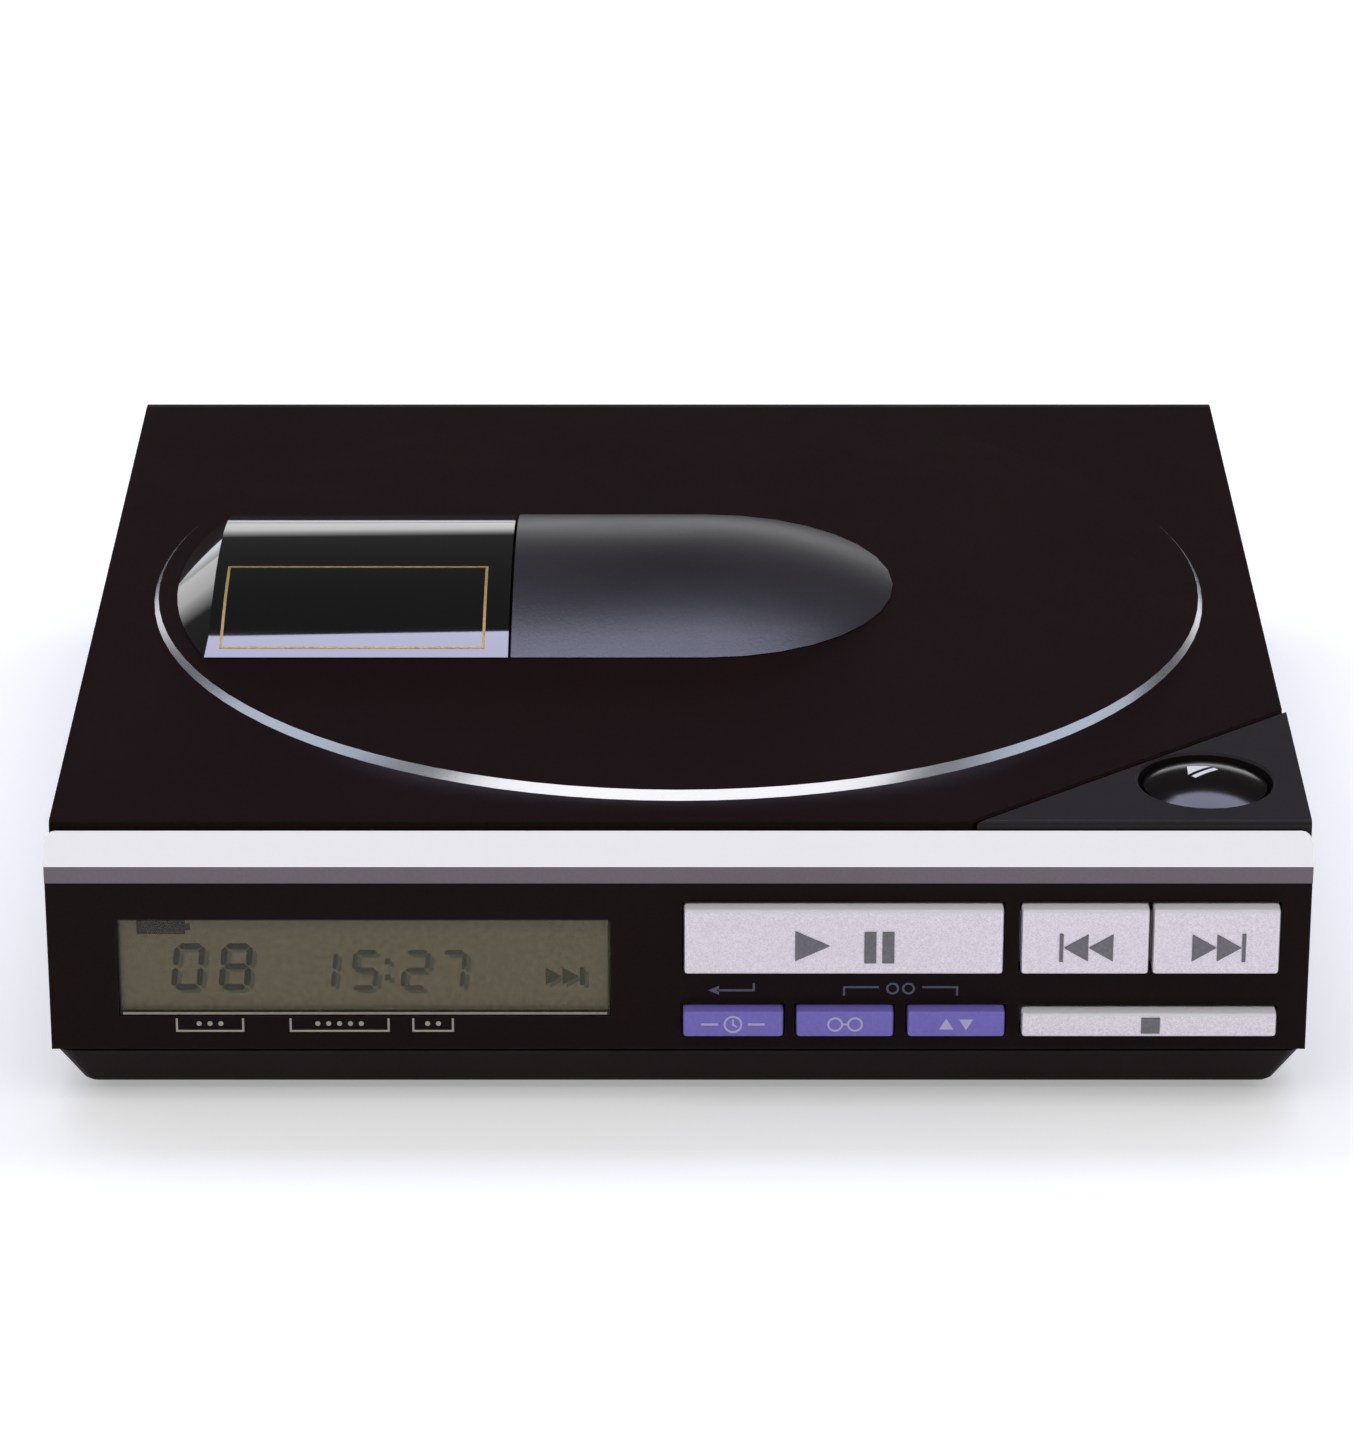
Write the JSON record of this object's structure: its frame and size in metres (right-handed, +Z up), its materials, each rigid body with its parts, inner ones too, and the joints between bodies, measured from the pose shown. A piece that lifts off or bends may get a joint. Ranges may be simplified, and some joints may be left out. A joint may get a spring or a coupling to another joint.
{
  "type": "portable cd player",
  "caption": "Flat portable CD player with a front-opening hinged lid, smoked disc window, corner open button, front display and transport keys.",
  "frame": {"origin": "on the ground under the spindle axis, at the middle of the footprint", "axes": "+Z up along the spindle; the front with the display and keys faces -Y; the lid hinge runs along X at the rear"},
  "size_m": [0.127, 0.1328, 0.0349],
  "materials": {
    "brown_black": "satin",
    "black_plastic": "satin",
    "matte_black": "matte",
    "bright_trim": "bright satin",
    "silver_key": "satin silver",
    "violet_key": "satin violet blue",
    "smoked_window": "polished",
    "grey_bulge": "matte",
    "display_grey": "satin",
    "clear_window": "polished",
    "green_board": "satin",
    "steel": "satin",
    "zinc_plate": "satin",
    "motor_can": "satin",
    "rubber": "matte",
    "white_nylon": "satin",
    "pickup_grey": "matte",
    "lens_blue": "polished",
    "brass": "satin"
  },
  "bodies": {
    "case": {"bottom_case": "black_plastic", "front_panel": "black_plastic", "front_trim": "bright_trim", "top_deck": "black_plastic", "disc_tray": "matte_black", "display_window": "clear_window", "display_module": "display_grey", "key_board": "green_board", "main_board": "green_board", "mech_plate": "zinc_plate", "spindle_motor": "motor_can", "guide_shaft_front": "steel", "guide_shaft_rear": "steel", "sled_motor": "motor_can", "volume_pot": "steel", "headphone_jack": "matte_black", "line_out_jack": "matte_black", "dc_jack": "matte_black", "latch_plate": "zinc_plate", "hinge_pin_left": "steel", "hinge_pin_right": "steel", "foot_front_left": "rubber", "case_screw_front_left": "steel", "foot_front_right": "rubber", "case_screw_front_right": "steel", "foot_rear_left": "rubber", "case_screw_rear_left": "steel", "foot_rear_right": "rubber", "case_screw_rear_right": "steel", "damper_front_left": "rubber", "damper_front_right": "rubber", "damper_rear": "rubber"},
    "lid": {"lid_cover": "brown_black", "lid_window": "smoked_window", "lid_bulge": "grey_bulge", "clamp_holder": "matte_black"},
    "clamp": {"clamp_puck": "white_nylon"},
    "play_pause_key": {"play_pause_key": "silver_key"},
    "previous_key": {"previous_key": "silver_key"},
    "next_key": {"next_key": "silver_key"},
    "stop_key": {"stop_key": "silver_key"},
    "remain_key": {"remain_key": "violet_key"},
    "play_mode_key": {"play_mode_key": "violet_key"},
    "key_mode_key": {"key_mode_key": "violet_key"},
    "open_button": {"open_button": "black_plastic"},
    "latch": {"latch_slider": "white_nylon"},
    "volume": {"volume_wheel": "matte_black"},
    "spindle": {"turntable": "motor_can", "spindle_shaft": "steel"},
    "sled": {"pickup_sled": "pickup_grey", "objective_lens": "lens_blue", "sled_rack": "white_nylon"},
    "drive_gear": {"drive_gear": "white_nylon"},
    "motor_pinion": {"motor_pinion": "brass"}
  },
  "joints": [
    {"name": "lid_hinge", "type": "hinge", "parent": "case", "child": "lid", "pos_m": [0, 0.05724, 0.0244], "axis": [-1, 0, 0], "range_deg": [0, 70]},
    {"name": "clamp_spin", "type": "hinge", "parent": "lid", "child": "clamp", "pos_m": [0, 0, 0.0282], "axis": [0, 0, 1], "continuous": true},
    {"name": "play_pause_key_press", "type": "slide", "parent": "case", "child": "play_pause_key", "axis": [0, 1, 0], "range_m": [0, 0.0008], "stiffness_N_per_m": 500, "springref_m": -0.001},
    {"name": "previous_key_press", "type": "slide", "parent": "case", "child": "previous_key", "axis": [0, 1, 0], "range_m": [0, 0.0008], "stiffness_N_per_m": 500, "springref_m": -0.001},
    {"name": "next_key_press", "type": "slide", "parent": "case", "child": "next_key", "axis": [0, 1, 0], "range_m": [0, 0.0008], "stiffness_N_per_m": 500, "springref_m": -0.001},
    {"name": "stop_key_press", "type": "slide", "parent": "case", "child": "stop_key", "axis": [0, 1, 0], "range_m": [0, 0.0008], "stiffness_N_per_m": 500, "springref_m": -0.001},
    {"name": "remain_key_press", "type": "slide", "parent": "case", "child": "remain_key", "axis": [0, 1, 0], "range_m": [0, 0.0008], "stiffness_N_per_m": 500, "springref_m": -0.001},
    {"name": "play_mode_key_press", "type": "slide", "parent": "case", "child": "play_mode_key", "axis": [0, 1, 0], "range_m": [0, 0.0008], "stiffness_N_per_m": 500, "springref_m": -0.001},
    {"name": "key_mode_key_press", "type": "slide", "parent": "case", "child": "key_mode_key", "axis": [0, 1, 0], "range_m": [0, 0.0008], "stiffness_N_per_m": 500, "springref_m": -0.001},
    {"name": "open_button_press", "type": "slide", "parent": "case", "child": "open_button", "axis": [0, 0, -1], "range_m": [0, 0.0015], "stiffness_N_per_m": 600, "springref_m": -0.001},
    {"name": "latch_slide", "type": "slide", "parent": "case", "child": "latch", "axis": [0.6429, -0.766, 0], "range_m": [0, 0.0008]},
    {"name": "volume_turn", "type": "hinge", "parent": "case", "child": "volume", "pos_m": [0.05565, -0.026, 0.012], "axis": [0, 0, 1], "range_deg": [0, 300]},
    {"name": "spindle_spin", "type": "hinge", "parent": "case", "child": "spindle", "pos_m": [0, 0, 0.02], "axis": [0, 0, 1], "continuous": true},
    {"name": "sled_slide", "type": "slide", "parent": "case", "child": "sled", "axis": [-0.7071, 0.7071, 0], "range_m": [0, 0.034]},
    {"name": "drive_gear_turn", "type": "hinge", "parent": "case", "child": "drive_gear", "pos_m": [-0.03341, 0.00902, 0.016], "axis": [0, 0, 1], "range_deg": [-2, 545]},
    {"name": "motor_pinion_turn", "type": "hinge", "parent": "case", "child": "motor_pinion", "pos_m": [-0.04496, 0.00881, 0.016], "axis": [0, 0, -1], "range_deg": [-2, 1960]}
  ],
  "couplings": [
    {"joint": "latch_slide", "follows": "open_button_press", "ratio": 0.5},
    {"joint": "drive_gear_turn", "follows": "sled_slide", "rad_per_m": 277.78},
    {"joint": "motor_pinion_turn", "follows": "sled_slide", "rad_per_m": 1000}
  ]
}
